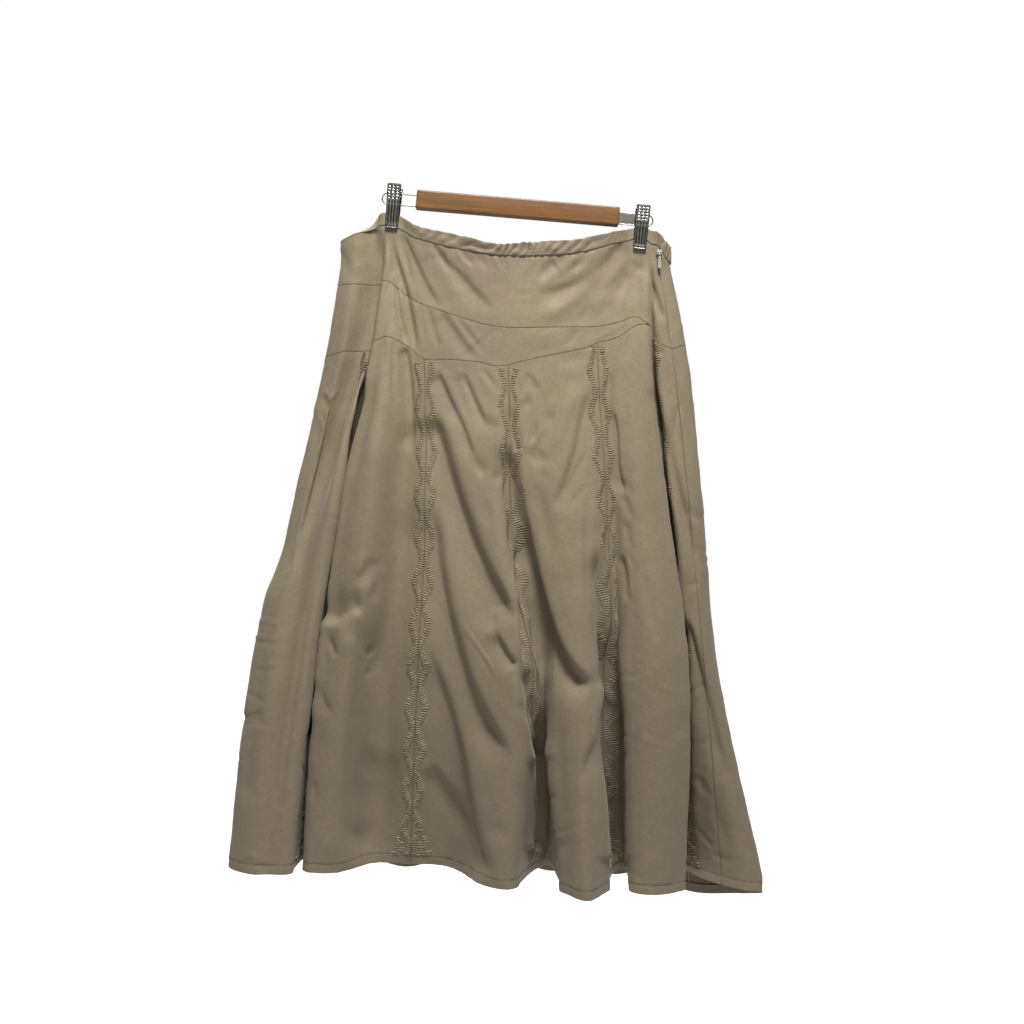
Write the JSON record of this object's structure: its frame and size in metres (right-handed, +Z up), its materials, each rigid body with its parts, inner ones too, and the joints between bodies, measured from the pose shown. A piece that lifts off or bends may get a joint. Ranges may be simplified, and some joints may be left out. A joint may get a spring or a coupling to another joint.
{
  "type": "a-line skirt on a clip hanger",
  "caption": "Flared midi skirt in plain khaki cloth: ruched elastic waist, curved yoke and hip band over godet gores, side zip, held by its waist on a wooden clip hanger.",
  "frame": {"origin": "middle of the top edge of the hanger's wooden bar, where the hanger is held", "axes": "+Z up, +X to the viewer's right, +Y away from the viewer; the viewer faces the skirt's front"},
  "size_m": [0.6218, 0.1783, 0.8517],
  "materials": {
    "cloth": "smooth khaki twill with a slight sheen",
    "wood": "stained and lacquered mid-brown wood with a fine horizontal grain",
    "chrome": "bright chromed sheet steel, softly worn",
    "steel": "plain drawn steel wire and sheet"
  },
  "bodies": {
    "skirt": {"waistband_front": "cloth", "waistband_back": "cloth", "yoke_front": "cloth", "yoke_back": "cloth", "hip_band_front": "cloth", "hip_band_back": "cloth", "gore_side_left": "cloth", "gore_front_1": "cloth", "gore_front_2": "cloth", "gore_front_3": "cloth", "gore_front_4": "cloth", "gore_side_right": "cloth", "gore_back_1": "cloth", "gore_back_2": "cloth", "gore_back_3": "cloth", "gore_back_4": "cloth", "gore_back_5": "cloth", "gore_back_6": "cloth", "hanger_bar": "wood", "clip_left_front": "chrome", "clip_left_back": "chrome", "clip_right_front": "chrome", "clip_right_back": "chrome", "zip_slider": "chrome", "clip_left_spring": "steel", "clip_right_spring": "steel", "hanger_wire_left": "steel", "hanger_wire_right": "steel", "hanger_plate_right": "steel"},
    "zip_pull": {"zip_link": "chrome", "zip_pull_tab": "chrome"}
  },
  "joints": [
    {"name": "zip_pull_hinge", "type": "hinge", "parent": "skirt", "child": "zip_pull", "pos_m": [0.162, -0.00423, -0.061], "axis": [-1, 0, 0], "range_deg": [0, 150]}
  ]
}
